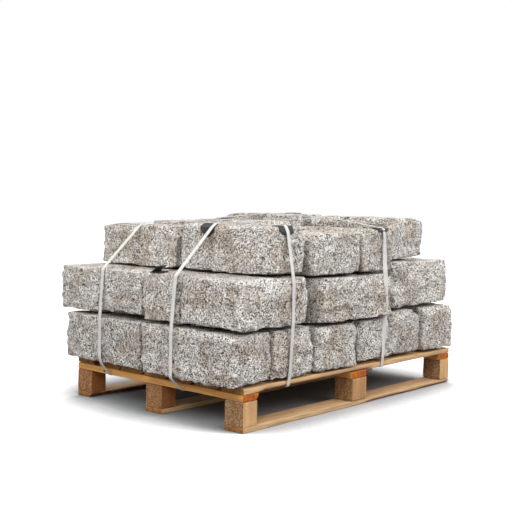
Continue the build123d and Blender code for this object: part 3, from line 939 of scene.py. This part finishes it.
def strap_surface(node, across, seed):
    """
    A strap's points, faces and cloth coordinates: at each station of the line, a flat oval ring whose
    half thickness falls from the middle to the edge as 1 minus the fourth power of the way out.
    """
    low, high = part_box(node)
    line = rounded_line(outline_of(node, across))
    tangent = np.roll(line, -1, 0) - np.roll(line, 1, 0)
    tangent /= np.linalg.norm(tangent, axis=1)[:, None]
    out = np.column_stack((tangent[:, 1], -tangent[:, 0]))
    line = line - out * STRAP_THICK * 0.6
    count = len(line)
    way = np.linspace(-1, 1, HALF_RING)
    way = np.concatenate((way, way[-2:0:-1]))
    upper = np.where(np.arange(RING) < HALF_RING, 1, -1)
    thick = (upper * (WOVEN_EDGE + (1 - WOVEN_EDGE) * (1 - way**4)) * STRAP_THICK / 2)[None, :]
    side = (way * STRAP_WIDTH / 2)[None, :]
    angle = turn_of(node, line)
    lifted = side * np.sin(angle) + thick * np.cos(angle) - np.sin(angle) * STRAP_WIDTH / 2
    sideways = side * np.cos(angle) - thick * np.sin(angle) + drift_of(count, seed)[:, None]
    in_plane = line[:, None, :] + out[:, None, :] * lifted[..., None]
    points = np.zeros((count, RING, 3))
    points[..., 1 - across] = in_plane[..., 0]
    points[..., 2] = in_plane[..., 1]
    points[..., across] = (low[across] + high[across]) / 2 + sideways
    station, corner = np.meshgrid(np.arange(count), np.arange(RING), indexing="ij")
    station_ahead, next_corner = (station + 1) % count, (corner + 1) % RING
    pairs = ((station, corner), (station_ahead, corner), (station_ahead, next_corner), (station, next_corner))
    faces = np.stack([at * RING + point for at, point in pairs], -1).reshape(-1, 4)
    if across == 0:
        faces = faces[:, ::-1]
    cloth = np.stack((station * STRAP_STEP, np.broadcast_to(side, (count, RING)), np.zeros((count, RING))), -1)
    return points.reshape(-1, 3), faces, cloth.reshape(-1, 3)


print("a strap is", STRAP_WIDTH, "m wide and", STRAP_THICK, "m thick")

# %% [markdown]
# ## Woven finish
#
# White polyester webbing has fine ribs along it and crossing threads. Both are waves on the strap's own
# cloth coordinates, metres along it and across it, so the weave follows every bend. A wave on the
# object's coordinates would slide over the strap wherever it changes direction.

# %% Weave and lay the straps
def woven():
    finish = Finish("woven_strap", roughness=0.55)
    cloth = finish.attribute("cloth", "Vector")
    ribs = finish.node("ShaderNodeTexWave", "Fac", {"Vector": cloth, "Scale": 320.0}, bands_direction="Y")
    picks = finish.node("ShaderNodeTexWave", "Fac", {"Vector": cloth, "Scale": 210.0}, bands_direction="X")
    weave = finish.maths("ADD", ribs, finish.maths("MULTIPLY", picks, 0.6))
    shade = finish.ramp(weave, ((0.1, linear(222, 220, 216)), (0.7, linear(246, 243, 239))))
    dust = finish.ramp(finish.noise(finish.place(), 24.0), ((0.4, 0.9), (0.7, 1.0)))
    return finish.painted(finish.times(shade, dust), weave, 0.0003)


WOVEN = woven()
# Each strap and the axis that it doesn't run along
STRAPS = {"strap_rear": 1, "strap_front": 1, "strap_left": 0, "strap_right": 0}
for seed, (node, across) in enumerate(STRAPS.items(), 60):
    points, faces, cloth = strap_surface(node, across, seed)
    stand_for(put_mesh("woven_" + node, points, faces, WOVEN, cloth=cloth), node)
print("straps:", list(STRAPS))

# %% [markdown]
# ## Plastic angles
#
# The angles are bent from black recycled plastic, dull and scuffed. Most CAD plates already have the
# real shape, so they stay as they are and only take a finish. Two have been crushed by their strap:
# the tab that hangs over the edge is shorter and narrower there. A bent copy of the plate takes the
# place of the CAD's. The CAD's triangles are loose, so the copy's corners are merged first.

# %% Angles
# A crushed angle's axis across the fold, the side that its tab hangs on, and the shares that the tab
# keeps of its length and of its width at the foot
CRUSHED = {
    "edge_protector_front_left": (0, -1, 0.85, 0.45),
    "edge_protector_right_front": (1, -1, 0.34, 0.60),
}
BELOW_BEND, BESIDE_BEND = 0.004, 0.006


def black_plastic():
    finish = Finish("black_plastic", roughness=0.5)
    scuff = finish.noise(finish.place(), 90.0, 4.0)
    colour = finish.ramp(scuff, ((0.35, linear(30, 30, 32)), (0.75, linear(62, 61, 60))))
    return finish.painted(colour, scuff, 0.0004)


def crushed_angle(node, across, side, kept_length, kept_width):
    """
    The plate's points and faces with its hanging tab shortened. A point at the share s of the way down
    from just under the bend B to the lowest point L moves back by (1 - kept) s (L - B), and towards
    the middle of the tab's width in the same way.
    """
    mesh = nodes[node].data
    corners = np.zeros(len(mesh.polygons) * 3, np.int32)
    mesh.polygons.foreach_get("vertices", corners)
    points, merged = np.unique(np.round(cad_points(node), 6), axis=0, return_inverse=True)
    bend = points[np.argmax(side * points[:, across] + points[:, 2])]
    lowest = points[np.argmin(points[:, 2])]
    start = bend[2] - BELOW_BEND
    share = np.clip((start - points[:, 2]) / (start - lowest[2]), 0, 1)
    share *= side * (points[:, across] - bend[across]) > -BESIDE_BEND
    for axis in (across, 2):
        points[:, axis] -= (1 - kept_length) * share * (lowest[axis] - bend[axis])
    width = points[:, 1 - across]
    middle = (width.min() + width.max()) / 2
    points[:, 1 - across] = middle + (width - middle) * (1 - (1 - kept_width) * share)
    return points, merged.reshape(-1)[corners].reshape(-1, 3)


BLACK_PLASTIC = black_plastic()
for node, crush in CRUSHED.items():
    name = node.replace("edge_protector", "crushed_angle")
    stand_for(put_mesh(name, *crushed_angle(node, *crush), BLACK_PLASTIC, False), node)

angles = [name for name in nodes if name.startswith("edge_protector")]
for name in angles:
    nodes[name].data.materials.clear()
    nodes[name].data.materials.append(BLACK_PLASTIC)
print("angles:", len(angles), "of which crushed:", len(CRUSHED))
